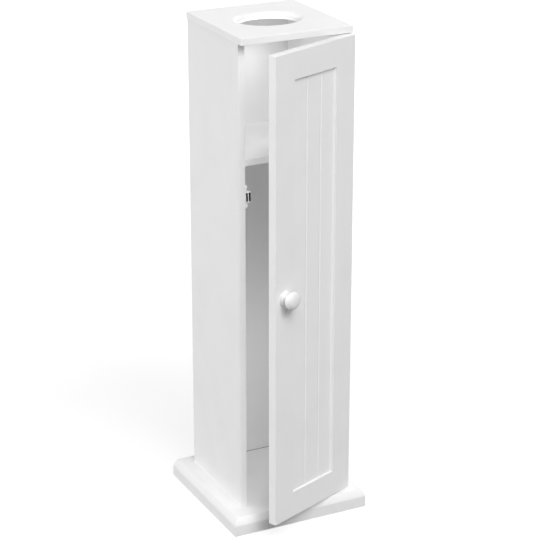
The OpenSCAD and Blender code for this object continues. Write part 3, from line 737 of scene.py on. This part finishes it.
def makeHingeLeaf(side, where):
    d, leaf = hingeLeaf, hingeLeaf[side]
    shape = bmesh.new()
    weight = shape.edges.layers.float.new("bevel_weight_edge")
    half, root, radius = leaf["height"] / 2, -d["knuckle"] * d["plateRoot"], d["cornerRadius"]
    corner = -leaf["reach"] + radius
    outline = [(root, half)] + cornerArc(corner, half - radius, radius, math.pi / 2)
    outline += cornerArc(corner, -half + radius, radius, math.pi) + [(root, -half)]
    if "window" in leaf:
        deep, tall = leaf["window"]
        outline += [(root, -tall / 2), (-deep, -tall / 2), (-deep, tall / 2), (root, tall / 2)]
        rolledKnuckle(shape, -half, -tall / 2)
        rolledKnuckle(shape, tall / 2, half)
    else:
        rolledKnuckle(shape, -half, half)
    rows = skinRings(shape, [[(x, y, z) for x, z in outline] for y in (d["low"], d["high"])])
    for row in rows:
        easeLoop(shape, weight, row)
    x, reach = leaf["screws"]
    sunk = ((d["screwHead"], d["low"]), (d["screwBore"], d["low"] + d["headDepth"]),
            (d["screwBore"], d["high"]))
    holes = [skinRings(shape, [[(a, y, b) for a, b in ovalPoints(r, r, (x, z), d["holeSides"])]
                               for r, y in sunk]) for z in (-reach, reach)]
    fillFlat(shape, [rows[0]] + [hole[0] for hole in holes])
    fillFlat(shape, [rows[1]] + [hole[-1] for hole in holes])
    place = Matrix.Translation((hingeAxis.x, hingeAxis.y, d["heights"][where] * mm))
    if side == "door":
        bmesh.ops.scale(shape, vec=(1, -1, 1), verts=shape.verts)
        place = swung @ place
    makePiece(f"{where}_hinge_{side}_leaf_rolled", shape, leaf["body"], "hinge_steel",
              [f"{where}_hinge_{side}_leaf"], place=place, bevel=d["ease"])


for where in ("lower", "upper"):
    for side in ("frame", "door"):
        makeHingeLeaf(side, where)
print("hinge leaves made")

catch = {  # millimetres; it is seen through the gap beside the door
    "side": -79, "front": -85.7, "middle": 543, "width": 9.6, "depth": 14, "height": 17.6,
    "taper": 1.4, "ease": 0.9, "slotEase": 0.2, "earEase": 0.4,  # the last two are shares of ease
    "askew": 4,  # degrees
    "poleThickness": 2.9, "poleSpacing": 4.6, "poleHeight": 13.2, "poleDepth": 5.8,
    "poleProud": 0.2, "poleLift": 0.3, "poleEase": 0.15, "polesFromSide": 4.95,
    "window": 0.1, "slotDepth": 6,
    "earHeight": 36, "earThickness": 3, "earDepth": 11.6, "earCorner": 3, "screwsApart": 28.5,
    "cupWidth": 7.2, "cupBore": 5.6, "cupProud": 2.4, "cupSunk": 0.3, "cupEdge": 0.25,
    "cupLip": 0.15, "cupSides": 32,
}


def makeCatch():
    d = catch
    side, front, centreY = d["side"], d["front"], d["front"] + d["depth"] / 2
    middle = d["middle"] + d["poleLift"]  # of the body and the poles; the ears are centred lower
    bottom, top = middle - d["height"] / 2, middle + d["height"] / 2
    poleBottom, poleTop = middle - d["poleHeight"] / 2, middle + d["poleHeight"] / 2
    poleXs = [side + d["polesFromSide"] + sign * d["poleSpacing"] / 2 for sign in (-1, 1)]
    pivot = Vector((side, centreY, d["middle"])) * mm
    askew = (Matrix.Translation(pivot) @ Matrix.Rotation(math.radians(-d["askew"]), 4, "X")
             @ Matrix.Translation(-pivot))

    def rectangle(x0, x1, z0, z1, y):
        return [(x0, y, z0), (x1, y, z0), (x1, y, z1), (x0, y, z1)]

    # the body: a box whose front face is open at the two slots
    shape = bmesh.new()
    weight = shape.edges.layers.float.new("bevel_weight_edge")
    fore, aft = skinRings(shape, [
        rectangle(side, side + d["width"], bottom, top, front),
        rectangle(side, side + d["width"], bottom + d["taper"], top - d["taper"],
                  front + d["depth"])])
    shape.faces.new(aft)
    easeLoop(shape, weight, fore)
    for k in (1, 2):
        shape.edges.get((fore[k], aft[k]))[weight] = 1
        shape.edges.get((aft[k], aft[(k + 1) % 4]))[weight] = 1
    slots = []
    for x in poleXs:
        wide, window = d["poleThickness"] / 2 + d["window"], d["window"]
        mouth, floor = skinRings(shape, [
            rectangle(x - wide, x + wide, poleBottom - window, poleTop + window, y)
            for y in (front, front + d["slotDepth"])])
        shape.faces.new(floor)
        easeLoop(shape, weight, mouth, d["slotEase"])
        slots.append(mouth)
    fillFlat(shape, [fore] + slots)

    # the two screw ears, on one thin plate against the side board
    outline = []
    for turn, (signY, signZ) in enumerate(((1, 1), (-1, 1), (-1, -1), (1, -1))):
        outline += cornerArc(centreY + signY * (d["earDepth"] / 2 - d["earCorner"]),
                             d["middle"] + signZ * (d["earHeight"] / 2 - d["earCorner"]),
                             d["earCorner"], math.pi / 2 * turn)
    face = side + d["earThickness"]
    rows = skinRings(shape, [[(x, y, z) for y, z in outline] for x in (side, face)])
    shape.faces.new(rows[0])
    shape.faces.new(rows[1])
    easeLoop(shape, weight, rows[1], d["earEase"])

    # the cup round each screw's head
    outer, bore, proud, sunk = d["cupWidth"] / 2, d["cupBore"] / 2, d["cupProud"], d["cupSunk"]
    wall = [(outer, -sunk), (outer, proud - d["cupEdge"]), (outer - d["cupEdge"], proud),
            (bore + d["cupLip"], proud), (bore, proud - d["cupLip"]), (bore, -sunk), (outer, -sunk)]
    for sign in (-1, 1):
        centre = (centreY, d["middle"] + sign * d["screwsApart"] / 2)
        skinRings(shape, [[(face + x, y, z) for y, z in ovalPoints(r, r, centre, d["cupSides"])]
                          for r, x in wall])
    makePiece("catch_body_moulded", shape, "carcass", "white_plastic", ["catch_housing"],
              place=askew, bevel=d["ease"])

    shape = bmesh.new()
    weight = shape.edges.layers.float.new("bevel_weight_edge")
    for x in poleXs:
        wide = d["poleThickness"] / 2
        tip, tail = skinRings(shape, [
            rectangle(x - wide, x + wide, poleBottom, poleTop, y)
            for y in (front - d["poleProud"], front + d["poleDepth"])])
        shape.faces.new(tip)
        shape.faces.new(tail)
        easeLoop(shape, weight, tip)
    makePiece("catch_poles_stamped", shape, "carcass", "black_steel", ["catch_pole_plates"],
              place=askew, bevel=d["poleEase"])


makeCatch()
print("catch made")

bounces = {"diffuse": 16, "most": 24}  # the white bays get their light by many bounces
bpy.context.scene.cycles.diffuse_bounces = bounces["diffuse"]
bpy.context.scene.cycles.max_bounces = bounces["most"]
bpy.context.scene.view_settings.view_transform = "Standard"
